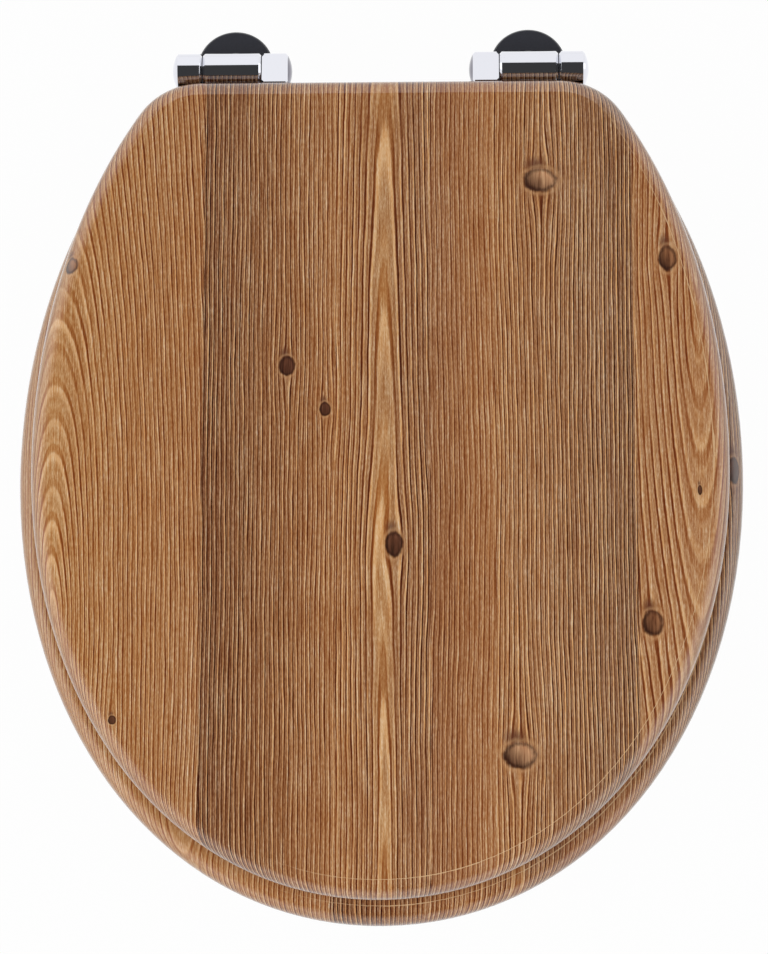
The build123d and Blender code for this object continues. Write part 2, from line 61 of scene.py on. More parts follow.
# Camera, as in the photograph of 768 by 954 pixels
IMAGE_HEIGHT_PX = 954
FOCAL_PX = 3932.7
CAMERA_DISTANCE = 2.0
CAMERA_TILT = math.radians(15.0)  # from straight down
CAMERA_AZIMUTH = math.radians(5.0)  # to the right of the front
CAMERA_ROLL = math.radians(-5.16)
CAMERA_TARGET = Vector((0.00185, -0.23222, 0.030))
CAMERA_REACH = 100.0
SENSOR = 36.0

# Floor
FLOOR_SIZE = 8.0
FLOOR_CENTRE = (0.0, -0.2)
FLOOR_CLEAR = 0.001  # below the ends of the fixing studs
FLOOR_MATT = "#787878"
FLOOR_GLOW = 0.93  # share of plain white in the floor that the camera sees
FLOOR_WHITE = 1.05
FLOOR_GLEAM = 1.15  # brightness of the floor in reflections

# White tent, with a dark opening above the camera that is narrower across than along. The opening
# has a sharp edge at the back and a soft one elsewhere
TENT_ENDS = 1.1  # brightness of the tent behind and in front, and at the sides
TENT_SIDES = 1.6
OPENING_STRENGTH = 0.05
OPENING_LEAN = math.radians(17.0)  # towards the front
OPENING_SIDE = math.radians(4.0)  # towards the right
OPENING_HALF_ANGLE = math.radians(42.0)
OPENING_NARROWING = 1.6
SHARP_EDGE = 0.008  # in the cosine of the angle from the middle of the opening
SOFT_EDGE = 0.4
AMBIENT = 0.3  # what matt surfaces get from the tent, more from the front than from the back
AMBIENT_SLANT = 0.4

# Square soft lamps: place and power in watts
LAMP_SIDE = 1.4
LAMP_AIM = Vector((0.0, -0.22, 0.04))
LAMPS = {
    "front_left": ((-1.25, -1.0, 1.9), 24.0),
    "front_right": ((0.75, -1.0, 1.9), 15.5),
    "back": ((0.0, 2.2, 0.7), 12.0),
}

# Rolled thread on the free end of each fixing stud
STUD_RADIUS = 0.0037
THREAD_PITCH = 0.00125
THREAD_DEPTH = 0.0003
THREAD_SINK = 0.0001  # thread's root inside the stud
THREAD_HALF_FOOT = 0.42 * THREAD_PITCH
THREAD_START = 1.6 * THREAD_PITCH  # above the stud's end
THREAD_FREE = 2 * THREAD_PITCH  # left plain, at both ends together
THREAD_STEPS = 28  # in a turn

# Flat on top of the lid's knuckles
FLAT_HEIGHT = 0.0068  # above the hinge axis, clear of the cap's seat
FLAT_LEAN = math.radians(7.0)  # towards the back
MERGE_DISTANCE = 0.000001
SMOOTH_ANGLE = math.radians(30.0)

# Foil print, in millimetres on the plan of the lid. A board has its left edge, the tones of its
# two edges, and its grain: the centre line and crest of the growth rings, how fast they close into
# arches, the distance between lines, how strongly the lines show, and how light the centre line is
Board = namedtuple("Board", "start left_tone right_tone centre crest taper spacing strength flame")
BOARDS = [
    Board(-200.0, "#BD8852", "#A66F42", -161.0, -325.0, 0.13, 2.3, 0.95, 0.7),
    Board(-89.5, "#774628", "#A46D41", -260.0, 0.0, 0.0, 2.3, 0.95, 0.0),
    Board(-22.3, "#A77043", "#946341", 5.4, -520.0, 0.024, 2.4, 1.2, 1.0),
    Board(25.5, "#9B6742", "#AB7448", -140.0, 0.0, 0.0, 2.5, 0.7, 0.0),
    Board(58.0, "#A87246", "#835A41", -119.4, 0.0, 0.0, 2.25, 1.25, 0.0),
    Board(129.5, "#AB764B", "#B67F54", 162.6, -118.0, 0.1, 2.9, 0.9, 0.5),
]
SHEET_HALF_WIDTH = 200.0
SEAM_WIDTH = 0.8

# Knots: place, half-width, half-length, tone of the heart, and reach of the bent grain round it
Knot = namedtuple("Knot", "x y half_width half_length heart flow")
DARK_HEART = "#5C3422"
MID_HEART = "#946240"
PALE_HEART = "#C6946C"
HEART_SHADE = "#3A1A0C"
LID_KNOTS = [
    Knot(82.4, -80.6, 7.6, 5.5, PALE_HEART, 6.0),
    Knot(146.8, -123.3, 4.0, 5.8, MID_HEART, 5.0),
    Knot(-46.9, -179.3, 3.5, 4.4, DARK_HEART, 3.4),
    Knot(-27.5, -202.1, 2.4, 3.2, DARK_HEART, 2.4),
    Knot(7.4, -272.6, 3.9, 5.6, DARK_HEART, 6.0),
    Knot(136.2, -313.8, 4.6, 5.6, MID_HEART, 4.5),
    Knot(69.7, -380.3, 7.3, 5.8, PALE_HEART, 6.0),
    Knot(-132.5, -361.7, 1.7, 2.0, DARK_HEART, 1.5),
    Knot(-158.3, -124.7, 3.4, 4.0, MID_HEART, 4.0),
    Knot(160.9, -245.5, 1.0, 2.2, DARK_HEART, 1.0),
]
RING_SHIFT = 65.0  # the ring's print, cut from another place on the roll
RING_KNOTS = [
    Knot(115.3, -228.8, 3.6, 6.0, DARK_HEART, 4.0),
    Knot(-46.9, -92.0, 3.8, 4.2, DARK_HEART, 5.0),
    Knot(-110.0, -330.0, 3.0, 3.6, DARK_HEART, 4.0),
]
FAR_FROM_KNOTS = 10.0
KNOT_RAGGEDNESS = 0.16  # uneven outline, as a share of the knot's size
HEART_LIGHT = (0.5, 0.4, 0.0)  # towards the paler side of a heart
HEART_GRAIN = 0.8
STAIN_PLACE = (-0.35, 1.5, 0.0)  # in sizes of the knot
STAIN_SHARE = 0.75
FLOW_STRETCH = (1.0, 0.32, 0.0)  # the grain bends over three times further along than across
FLOW_PUSH = 0.85

# Inks of the print
PALE_LINE = "#E2B27E"
PALE_LINE_SHARE = 0.9
FLAME = "#D09E68"
KNOT_STAIN = "#5A3022"
KNOT_RIM = "#2E1206"
DARK_INK = 1.24  # extra density in a dark line, and its spread in fibres, pores and patches
FIBRE_INK = 0.75
PORE_INK = 0.5
PATCH_INK = 0.3

# Streaks along the grain: width and length in millimetres, detail, and the spread of the noise
# round its middle that is stretched to the full range
Streak = namedtuple("Streak", "width length detail spread", defaults=(2.0, 0.5))
KNOT_OUTLINE = Streak(3.0, 3.6, 1.0, 0.3)
SWAY = Streak(40.0, 170.0)
SWAY_WIDTH = 4.0  # how far a line sways and trembles, in millimetres
TREMBLE = Streak(3.0, 24.0)
TREMBLE_WIDTH = 0.9
LINE_FADE = Streak(0.9, 75.0, 1.0)  # this width counts in lines
FIBRE = Streak(0.5, 20.0, 3.0, 0.25)  # finest streak, drawn just wide enough to show
PORE = Streak(0.5, 2.6, 2.0, 0.25)
PATCH = Streak(26.0, 220.0)
STREAK_ROUGHNESS = 0.55

# Profiles as stops of grey: of the print, a line across one growth ring, a knot's rim and the pale
# ring outside it by distance in whole widths of the knot; and of the painted highlight at the
# crease, by slope of the edge
PALE_PROFILE = [
    (0.0, "#000000"), (0.06, "#A0A0A0"), (0.2, "#000000"), (0.36, "#000000"),
    (0.54, "#FFFFFF"), (0.66, "#FFFFFF"), (0.74, "#000000"),
]
DARK_PROFILE = [
    (0.0, "#000000"), (0.7, "#000000"), (0.8, "#FFFFFF"), (0.95, "#FFFFFF"), (1.0, "#202020"),
]
RIM_PROFILE = [
    (0.0, "#707070"), (0.25, "#101010"), (0.4, "#202020"), (0.52, "#E6E6E6"),
    (0.57, "#E6E6E6"), (0.64, "#505050"), (0.78, "#000000"),
]
HALO_PROFILE = [(0.62, "#000000"), (0.71, "#8C8C8C"), (0.85, "#000000")]
PAINTED_HIGHLIGHT_PROFILE = [(0.07, "#000000"), (0.09, "#E4E4E4"), (0.116, "#E4E4E4"), (0.128, "#000000")]

# Painted highlight: a pale line in the foil's colour where the flat face turns into the edge,
# standing in for the gloss there. It is painted at the front and right only: millimetres ahead of
# the back edge, and to the right of the middle
PAINTED_CREASE_HIGHLIGHT = "#E2BE92"
PAINTED_HIGHLIGHT_AHEAD = (10.0, 90.0)
PAINTED_HIGHLIGHT_RIGHT = (-60.0, 10.0)

# Metals
HAZE_SIZE = 6.25  # millimetres
HAZE_ROUGHNESS = 0.045
STEEL_GRAIN = (2600.0, 2600.0, 240.0)  # in a metre: 0.4 mm across and 4 mm along


def linear(colour):
    """An sRGB hex colour as linear red, green, blue and alpha."""
    parts = [int(colour[i:i + 2], 16) / 255 for i in (1, 3, 5)]
    return [c / 12.92 if c <= 0.04045 else ((c + 0.055) / 1.055) ** 2.4 for c in parts] + [1.0]


def add_node(tree, kind, links=None, stops=None, **settings):
    """Adds a shader node; links maps an input to a value, a socket, or a node's first output."""
    made = tree.nodes.new("ShaderNode" + kind)
    for name, value in settings.items():
        setattr(made, name, value)
    for key, value in (links or {}).items():
        source = value.outputs[0] if isinstance(value, bpy.types.Node) else value
        if isinstance(source, bpy.types.NodeSocket):
            tree.links.new(source, made.inputs[key])
        else:
            made.inputs[key].default_value = source
    if stops:
        elements = made.color_ramp.elements
        while len(elements) < len(stops):
            elements.new(1.0)
        for element, (place, colour) in zip(elements, stops):
            element.position = place
            element.color = linear(colour)
    return made


def empty_tree(owner):
    """The cleared node tree of a material or a world."""
    owner.use_nodes = True
    owner.node_tree.nodes.clear()
    return owner.node_tree


def new_material(name):
    """A node material with its output and a principled shader."""
    material = bpy.data.materials.new(name)
    tree = empty_tree(material)
    shader = add_node(tree, "BsdfPrincipled")
    add_node(tree, "OutputMaterial", {"Surface": shader})
    return material, tree, shader


def dress(material, *names):
    """Puts a material on CAD nodes, in all their slots."""
    for name in names:
        mesh = NODES[name].data
        mesh.materials.clear()
        mesh.materials.append(material)


def both(*names):
    """Left and right names of paired pieces."""
    return [f"{name}_{side}" for name in names for side in SIDES]


def foil_place(tree, top):
    """Place on the foil in millimetres, drawn down over the rounded edge, and the edge's slope."""
    coords = add_node(tree, "TexCoord")
    place = add_node(
        tree, "VectorMath", {0: coords.outputs["Object"], 1: (MM,) * 3}, operation="MULTIPLY"
    )
    axes = add_node(tree, "SeparateXYZ", {0: place})
    drop = add_node(tree, "Math", {0: top, 1: axes.outputs[2]}, operation="SUBTRACT")
    outward = add_node(
        tree, "VectorMath", {0: coords.outputs["Normal"], 1: (1.0, 1.0, 0.0)}, operation="MULTIPLY"
    )
    slide = add_node(tree, "VectorMath", {0: outward, "Scale": drop}, operation="SCALE")
    flat = add_node(tree, "VectorMath", {0: place, 1: (1.0, 1.0, 0.0)}, operation="MULTIPLY")
    spread = add_node(tree, "VectorMath", {0: flat, 1: slide}, operation="ADD")
    slope = add_node(tree, "VectorMath", {0: outward}, operation="LENGTH")
    return spread, slope.outputs["Value"]


def streaks(tree, across, along, streak):
    """Noise drawn out along the grain, from 0 to 1."""
    column = add_node(tree, "Math", {0: across, 1: streak.width}, operation="DIVIDE")
    row = add_node(tree, "Math", {0: along, 1: streak.length}, operation="DIVIDE")
    point = add_node(tree, "CombineXYZ", {0: column, 1: row})
    noise = add_node(
        tree, "TexNoise",
        {"Vector": point, "Scale": 1.0, "Detail": streak.detail, "Roughness": STREAK_ROUGHNESS},
        noise_dimensions="2D",
    )
    return add_node(
        tree, "MapRange",
        {"Value": noise, "From Min": 0.5 - streak.spread, "From Max": 0.5 + streak.spread},
    )


def board_tone(tree, across):
    """Colour of the board under a point, from its left edge to its right, with seams between."""
    stops = []
    ends = [board.start for board in BOARDS[1:]] + [SHEET_HALF_WIDTH]
    for board, end in zip(BOARDS, ends):
        left = board.start + SEAM_WIDTH / 2
        right = end - SEAM_WIDTH / 2
        for x, tone in ((left, board.left_tone), (right, board.right_tone)):
            stops.append(((x + SHEET_HALF_WIDTH) / (2 * SHEET_HALF_WIDTH), tone))
    share = add_node(
        tree, "MapRange",
        {"Value": across, "From Min": -SHEET_HALF_WIDTH, "From Max": SHEET_HALF_WIDTH},
    )
    return add_node(tree, "ValToRGB", {0: share}, stops=stops)


def board_grain(tree, across, *fields):
    """Three grain values of the board under a point, which change at each seam."""
    values = [Vector([getattr(board, field) for field in fields]) for board in BOARDS]
    chosen = values[0]
    for board, before, here in zip(BOARDS[1:], values, values[1:]):
        past = add_node(tree, "Math", {0: across, 1: board.start}, operation="GREATER_THAN")
        chosen = add_node(
            tree, "VectorMath", {0: past, 1: here - before, 2: chosen}, operation="MULTIPLY_ADD"
        )
    return add_node(tree, "SeparateXYZ", {0: chosen}).outputs


def grain_round_knots(tree, place, across, along, knots):
    """The grain bent round knots, the distance from the nearest, their stain and their hearts."""
    outline = streaks(tree, across, along, KNOT_OUTLINE)
    bent = across
    nearest = FAR_FROM_KNOTS
    stain = 0.0
    hearts = []
    for knot in knots:
        offset = add_node(
            tree, "VectorMath", {0: place, 1: (knot.x, knot.y, 0.0)}, operation="SUBTRACT"
        )
        size = (1 / knot.half_width, 1 / knot.half_length, 0.0)
        local = add_node(tree, "VectorMath", {0: offset, 1: size}, operation="MULTIPLY")
        length = add_node(tree, "VectorMath", {0: local}, operation="LENGTH")
        reach = add_node(
            tree, "Math", {0: outline, 1: KNOT_RAGGEDNESS, 2: length.outputs["Value"]},
            operation="MULTIPLY_ADD",
        )
        nearest = add_node(tree, "Math", {0: nearest, 1: reach}, operation="MINIMUM")
        lit = add_node(tree, "VectorMath", {0: local, 1: HEART_LIGHT}, operation="DOT_PRODUCT")
        hearts.append((reach, lit.outputs["Value"], knot.heart))

        above = add_node(tree, "VectorMath", {0: local, 1: STAIN_PLACE}, operation="SUBTRACT")
        away = add_node(tree, "VectorMath", {0: above}, operation="LENGTH")
        smear = add_node(
            tree, "MapRange",
            {"Value": away.outputs["Value"], "From Min": 1.1, "From Max": 0.1},
            interpolation_type="SMOOTHSTEP",
        )
        stain = add_node(tree, "Math", {0: stain, 1: smear}, operation="MAXIMUM")

        flow = knot.flow ** 2
        long = add_node(tree, "VectorMath", {0: offset, 1: FLOW_STRETCH}, operation="MULTIPLY")
        square = add_node(tree, "VectorMath", {0: long, 1: long}, operation="DOT_PRODUCT")
        clear = add_node(tree, "Math", {0: square.outputs["Value"], 1: flow}, operation="ADD")
        push = add_node(tree, "Math", {0: FLOW_PUSH * flow, 1: clear}, operation="DIVIDE")
        side = add_node(tree, "SeparateXYZ", {0: offset})
        shove = add_node(tree, "Math", {0: push, 1: side.outputs[0]}, operation="MULTIPLY")
        bent = add_node(tree, "Math", {0: bent, 1: shove}, operation="SUBTRACT")
    return bent, nearest, stain, hearts


def growth_rings(tree, wavy, across, along, nearest):
    """Colour of the boards with their pale lines, and the share of dark line beside each."""
    centre, crest, taper = board_grain(tree, across, "centre", "crest", "taper")
    spacing, strength, flame = board_grain(tree, across, "spacing", "strength", "flame")

    # Distance from the board's centre line, closed into arches by its taper
    out = add_node(tree, "Math", {0: wavy, 1: centre}, operation="SUBTRACT")
    rise = add_node(tree, "Math", {0: along, 1: crest}, operation="SUBTRACT")
    lean = add_node(tree, "Math", {0: rise, 1: taper}, operation="MULTIPLY")
    corner = add_node(tree, "CombineXYZ", {0: out, 1: lean})
    distance = add_node(tree, "VectorMath", {0: corner}, operation="LENGTH").outputs["Value"]
    turn = add_node(tree, "Math", {0: distance, 1: spacing}, operation="DIVIDE")
    year = add_node(tree, "Math", {0: turn}, operation="FRACT")

    # Each line comes and goes by itself, and is calm beside a knot
    fade = streaks(tree, turn, along, LINE_FADE)
    shown = add_node(
        tree, "MapRange",
        {"Value": fade, "From Min": 0.3, "From Max": 0.62, "To Min": 0.35, "To Max": 1.0},
    )
    calm = add_node(
        tree, "MapRange", {"Value": nearest, "From Min": 1.1, "From Max": 2.4, "To Min": 0.35}
    )
    calmed = add_node(tree, "Math", {0: shown, 1: calm}, operation="MULTIPLY")
    share = add_node(tree, "Math", {0: calmed, 1: strength}, operation="MULTIPLY")

    # The middle of an arched board is light, in broken flames
    sideways = add_node(tree, "Math", {0: out}, operation="ABSOLUTE")
    middle = add_node(
        tree, "MapRange", {"Value": sideways, "From Min": 8.0, "From Max": 1.0},
        interpolation_type="SMOOTHSTEP",
    )
    broken = add_node(tree, "Math", {0: middle, 1: fade}, operation="MULTIPLY")
    glow = add_node(tree, "Math", {0: broken, 1: flame}, operation="MULTIPLY")
    flamed = add_node(tree, "MixRGB", {0: glow, 1: board_tone(tree, across), 2: linear(FLAME)})

    # A pale line, with a narrow dark one beside it that fades out over the top of an arch
    pale = add_node(tree, "ValToRGB", {0: year}, stops=PALE_PROFILE)
    pale_share = add_node(tree, "Math", {0: pale, 1: share}, operation="MULTIPLY")
    pale_soft = add_node(tree, "Math", {0: pale_share, 1: PALE_LINE_SHARE}, operation="MULTIPLY")
    lined = add_node(tree, "MixRGB", {0: pale_soft, 1: flamed, 2: linear(PALE_LINE)})
    dark = add_node(tree, "ValToRGB", {0: year}, stops=DARK_PROFILE)
    dark_share = add_node(tree, "Math", {0: dark, 1: share}, operation="MULTIPLY")
    steep = add_node(tree, "Math", {0: sideways, 1: distance}, operation="DIVIDE")
    legs = add_node(
        tree, "MapRange", {"Value": steep, "From Min": 0.15, "From Max": 0.7, "To Min": 0.2}
    )
    dark_legs = add_node(tree, "Math", {0: dark_share, 1: legs}, operation="MULTIPLY")
    return lined, dark_legs


def knotted(tree, printed, fibre, pore, nearest, stain, hearts):
    """The print with its knots: a stain above, a heart, a thin dark rim and a pale ring outside."""
    stain_share = add_node(tree, "Math", {0: stain, 1: STAIN_SHARE}, operation="MULTIPLY")
    colour = add_node(tree, "MixRGB", {0: stain_share, 1: printed, 2: linear(KNOT_STAIN)})
    for reach, lit, heart in hearts:
        inside = add_node(
            tree, "MapRange", {"Value": reach, "From Min": 1.4, "From Max": 1.05, "To Max": 0.95},
            interpolation_type="SMOOTHSTEP",
        )
        pale_side = add_node(tree, "MapRange", {"Value": lit, "From Min": -0.6, "From Max": 0.4})
        shaded = add_node(tree, "MixRGB", {0: pale_side, 1: linear(HEART_SHADE), 2: linear(heart)})
        grained = add_node(
            tree, "MixRGB", {0: HEART_GRAIN, 1: shaded, 2: fibre}, blend_type="SOFT_LIGHT"
        )
        colour = add_node(tree, "MixRGB", {0: inside, 1: colour, 2: grained})
    widths = add_node(tree, "Math", {0: nearest, 1: 2.0}, operation="DIVIDE")
    rim = add_node(tree, "ValToRGB", {0: widths}, stops=RIM_PROFILE)
    worn = add_node(tree, "MapRange", {"Value": pore, "To Min": 1.0, "To Max": 0.5})
    rim_share = add_node(tree, "Math", {0: rim, 1: worn}, operation="MULTIPLY")
    rimmed = add_node(tree, "MixRGB", {0: rim_share, 1: colour, 2: linear(KNOT_RIM)})
    halo = add_node(tree, "ValToRGB", {0: widths}, stops=HALO_PROFILE)
    return add_node(tree, "MixRGB", {0: halo, 1: rimmed, 2: linear(PALE_LINE)})


def with_painted_highlight(tree, printed, slope, across, along, shift, back):
    """The print with a painted highlight along the crease, round the front and right of the flat
    face.
    """
    highlight_line = add_node(tree, "ValToRGB", {0: slope}, stops=PAINTED_HIGHLIGHT_PROFILE)
    start, end = PAINTED_HIGHLIGHT_AHEAD
    front = add_node(
        tree, "MapRange", {"Value": along, "From Min": back - start, "From Max": back - end}
    )
    start, end = PAINTED_HIGHLIGHT_RIGHT
    right = add_node(
        tree, "MapRange", {"Value": across, "From Min": start - shift, "From Max": end - shift}
    )
    at_front = add_node(tree, "Math", {0: highlight_line, 1: front}, operation="MULTIPLY")
    share = add_node(tree, "Math", {0: at_front, 1: right}, operation="MULTIPLY")
    return add_node(tree, "MixRGB", {0: share, 1: printed, 2: linear(PAINTED_CREASE_HIGHLIGHT)})


def wood_effect_foil(name, node, shift, knots):
    """Printed pine foil under clear lacquer: boards, growth rings and knots, with a soft gloss."""
    material, tree, shader = new_material(name)
    corner_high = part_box(node)[1] * MM
    spread, slope = foil_place(tree, corner_high.z)
    place = add_node(tree, "VectorMath", {0: spread, 1: (shift, 0.0, 0.0)}, operation="SUBTRACT")
    across, along = add_node(tree, "SeparateXYZ", {0: place}).outputs[:2]

    # Lines of the grain, bent round knots and never quite straight
    bent, nearest, stain, hearts = grain_round_knots(tree, place, across, along, knots)
    sway = streaks(tree, across, along, SWAY)
    swayed = add_node(tree, "Math", {0: sway, 1: SWAY_WIDTH, 2: bent}, operation="MULTIPLY_ADD")
    tremble = streaks(tree, across, along, TREMBLE)
    wavy = add_node(
        tree, "Math", {0: tremble, 1: TREMBLE_WIDTH, 2: swayed}, operation="MULTIPLY_ADD"
    )
    lined, dark = growth_rings(tree, wavy, across, along, nearest)

    # Density of the print: dark lines, fibres, pores and slow patches along the sheet
    fibre = streaks(tree, wavy, along, FIBRE)
    pore = streaks(tree, across, along, PORE)
    patch = streaks(tree, across, along, PATCH)
    level = 1.0 + (FIBRE_INK + PORE_INK + PATCH_INK) / 2
    density = add_node(tree, "Math", {0: dark, 1: DARK_INK, 2: level}, operation="MULTIPLY_ADD")
    for layer, ink in ((fibre, FIBRE_INK), (pore, PORE_INK), (patch, PATCH_INK)):
        density = add_node(tree, "Math", {0: layer, 1: -ink, 2: density}, operation="MULTIPLY_ADD")
    inked = add_node(tree, "Gamma", {"Color": lined, "Gamma": density})
    printed = knotted(tree, inked, fibre, pore, nearest, stain, hearts)
    # Painted highlight along the crease, at the front and right of the flat face
    colour = with_painted_highlight(tree, printed, slope, across, along, shift, corner_high.y)
    tree.links.new(colour.outputs[0], shader.inputs["Base Color"])

    # Satin lacquer, with the fibres just felt through it
    relief = add_node(tree, "Bump", {"Height": fibre, "Strength": 0.06, "Distance": 0.0002})
    tree.links.new(relief.outputs[0], shader.inputs["Normal"])
    shader.inputs["Roughness"].default_value = 0.34
    shader.inputs["IOR"].default_value = 1.5
    shader.inputs["Specular IOR Level"].default_value = 0.15
    shader.inputs["Coat Weight"].default_value = 1.0
    shader.inputs["Coat IOR"].default_value = 1.7
    shader.inputs["Coat Roughness"].default_value = 0.11
    return material


def chrome(name, colour, roughness):
    """Chrome plating on cast zinc: a clear mirror with faint polishing haze."""
    material, tree, shader = new_material(name)
    coords = add_node(tree, "TexCoord")
    haze = add_node(
        tree, "TexNoise",
        {"Vector": coords.outputs["Object"], "Scale": MM / HAZE_SIZE, "Detail": 3.0},
    )
    hazed = add_node(
        tree, "MapRange",
        {"Value": haze, "To Min": roughness, "To Max": roughness + HAZE_ROUGHNESS},
    )
    tree.links.new(hazed.outputs[0], shader.inputs["Roughness"])
    shader.inputs["Base Color"].default_value = linear(colour)
    shader.inputs["Metallic"].default_value = 1.0
    return material


def moulded(name, tones, grain_mm, roughness, bump):
    """Moulded plastic or rubber: two close tones in a fine grain, and a satin surface."""
    material, tree, shader = new_material(name)
    coords = add_node(tree, "TexCoord")
    grain = add_node(
        tree, "TexNoise",
        {"Vector": coords.outputs["Object"], "Scale": MM / grain_mm, "Detail": 4.0},
    )
    colour = add_node(tree, "ValToRGB", {0: grain}, stops=[(0.3, tones[0]), (0.7, tones[1])])
    tree.links.new(colour.outputs[0], shader.inputs["Base Color"])
    relief = add_node(tree, "Bump", {"Height": grain, "Strength": bump, "Distance": 0.0001})
    tree.links.new(relief.outputs[0], shader.inputs["Normal"])
    shader.inputs["Roughness"].default_value = roughness
    return material


def plated_steel():
    """Zinc-plated steel: grey metal with a fine drawn grain and patchy gloss."""
    material, tree, shader = new_material("zinc_plated_steel")
    coords = add_node(tree, "TexCoord")
    drawn = add_node(
        tree, "VectorMath", {0: coords.outputs["Object"], 1: STEEL_GRAIN}, operation="MULTIPLY"
    )
    grain = add_node(tree, "TexNoise", {"Vector": drawn, "Scale": 1.0, "Detail": 3.0})
    rough = add_node(tree, "MapRange", {"Value": grain, "To Min": 0.22, "To Max": 0.42})
    colour = add_node(tree, "ValToRGB", {0: grain}, stops=[(0.3, "#A9ABAD"), (0.7, "#C3C5C6")])
    tree.links.new(colour.outputs[0], shader.inputs["Base Color"])
    tree.links.new(rough.outputs[0], shader.inputs["Roughness"])
    shader.inputs["Metallic"].default_value = 1.0
    return material


def stud_thread(side, material):
    """Rolled thread on the free end of a fixing stud, below the wing nut."""
    low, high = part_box(f"fixing_stud_{side}")
    nut_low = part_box(f"wing_nut_{side}")[0]
    bpy.ops.object.select_all(action="DESELECT")
    bpy.ops.mesh.primitive_circle_add(vertices=3, radius=THREAD_PITCH / 2, fill_type="NOTHING")
    thread = bpy.context.object
    thread.name = f"stud_thread_{side}"
    root = STUD_RADIUS - THREAD_SINK
    crest = STUD_RADIUS + THREAD_DEPTH
    start = low.z + THREAD_START
    profile = [(crest, start), (root, start - THREAD_HALF_FOOT), (root, start + THREAD_HALF_FOOT)]
    for vertex, (radius, height) in zip(thread.data.vertices, profile):
        vertex.co = (radius, 0.0, height)
    screw = thread.modifiers.new("thread", "SCREW")
    screw.axis = "Z"
    screw.screw_offset = THREAD_PITCH
    screw.iterations = int((nut_low.z - low.z - THREAD_FREE) / THREAD_PITCH)
    screw.steps = THREAD_STEPS
    screw.render_steps = THREAD_STEPS
    screw.use_merge_vertices = False
    bpy.ops.object.modifier_apply(modifier=screw.name)
    bpy.ops.object.mode_set(mode="EDIT")
    bpy.ops.mesh.select_all(action="DESELECT")
    bpy.ops.mesh.select_mode(type="EDGE")
    bpy.ops.mesh.select_non_manifold()
    bpy.ops.mesh.edge_face_add()
    bpy.ops.mesh.select_all(action="SELECT")
    bpy.ops.mesh.normals_make_consistent(inside=False)
    bpy.ops.object.mode_set(mode="OBJECT")
    middle = (low + high) / 2
    thread.data.transform(Matrix.Translation((middle.x, middle.y, 0.0)))
    thread.data.materials.append(material)
    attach(thread, "base")


def flat_lid_arm(side, material):
    """The lid's arm with a flat ground on top of its knuckle, leaning back to mirror the tent."""
    bpy.ops.object.select_all(action="DESELECT")
    node = f"lid_arm_{side}"
    arm = bpy.data.objects.new(f"flat_lid_arm_{side}", NODES[node].data.copy())
    bpy.context.scene.collection.objects.link(arm)
    arm.select_set(True)
    bpy.context.view_layer.objects.active = arm
    bpy.ops.mesh.customdata_custom_splitnormals_clear()
    upward = Vector((0.0, math.sin(FLAT_LEAN), math.cos(FLAT_LEAN)))
    cap_low, cap_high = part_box(f"lid_arm_cap_{side}")
    axis = (cap_low + cap_high) / 2
    bpy.ops.object.mode_set(mode="EDIT")
    bpy.ops.mesh.select_all(action="SELECT")
    bpy.ops.mesh.remove_doubles(threshold=MERGE_DISTANCE)
    bpy.ops.mesh.bisect(
        plane_co=axis + upward * FLAT_HEIGHT, plane_no=upward, use_fill=True, clear_outer=True
    )
    bpy.ops.object.mode_set(mode="OBJECT")
    bpy.ops.object.shade_smooth_by_angle(angle=SMOOTH_ANGLE)
    arm.data.materials.clear()
    arm.data.materials.append(material)
    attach(arm, "lid")
    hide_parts(node)


def camera():
    """Camera at the photograph's angle, high in front and a little to the right."""
    back = Vector((
        math.sin(CAMERA_TILT) * math.sin(CAMERA_AZIMUTH),
        -math.sin(CAMERA_TILT) * math.cos(CAMERA_AZIMUTH),
        math.cos(CAMERA_TILT),
    ))
    level = Vector((math.cos(CAMERA_AZIMUTH), math.sin(CAMERA_AZIMUTH), 0.0))
    upright = back.cross(level)
    right = level * math.cos(CAMERA_ROLL) + upright * math.sin(CAMERA_ROLL)
    up = upright * math.cos(CAMERA_ROLL) - level * math.sin(CAMERA_ROLL)
    data = bpy.data.cameras.new("camera")
    data.sensor_width = SENSOR
    data.lens = FOCAL_PX * SENSOR / IMAGE_HEIGHT_PX
    data.clip_end = CAMERA_REACH
    made = bpy.data.objects.new("camera", data)
    bpy.context.scene.collection.objects.link(made)
    turn = Matrix((right, up, back)).transposed().to_4x4()
    made.matrix_world = Matrix.Translation(CAMERA_TARGET + back * CAMERA_DISTANCE) @ turn
    bpy.context.scene.camera = made


def seen_directly(tree):
    """1 where the camera, a reflection or clear material looks at the surface."""
    path = add_node(tree, "LightPath").outputs
    mirror = add_node(
        tree, "Math", {0: path["Is Glossy Ray"], 1: path["Is Transmission Ray"]},
        operation="MAXIMUM",
    )
    return add_node(tree, "Math", {0: path["Is Camera Ray"], 1: mirror}, operation="MAXIMUM")


def pale_floor():
    """A plain white floor that keeps a soft shadow."""
    bpy.ops.object.select_all(action="DESELECT")
    bpy.ops.mesh.primitive_plane_add(
        size=FLOOR_SIZE, location=(*FLOOR_CENTRE, CAD_BOX[0].z - FLOOR_CLEAR)
    )
    floor = bpy.context.object
    floor.name = "floor"
    material = bpy.data.materials.new("pale_floor")
    tree = empty_tree(material)
    matt = add_node(tree, "BsdfDiffuse", {"Color": linear(FLOOR_MATT)})
    path = add_node(tree, "LightPath").outputs
    level = add_node(
        tree, "Math", {0: path["Is Glossy Ray"], 1: FLOOR_GLEAM - FLOOR_WHITE, 2: FLOOR_WHITE},
        operation="MULTIPLY_ADD",
    )
    white = add_node(tree, "Emission", {"Color": linear("#FFFFFF"), "Strength": level})
    share = add_node(tree, "Math", {0: seen_directly(tree), 1: FLOOR_GLOW}, operation="MULTIPLY")
    mixed = add_node(tree, "MixShader", {0: share, 1: matt, 2: white})
    add_node(tree, "OutputMaterial", {"Surface": mixed})
    floor.data.materials.append(material)


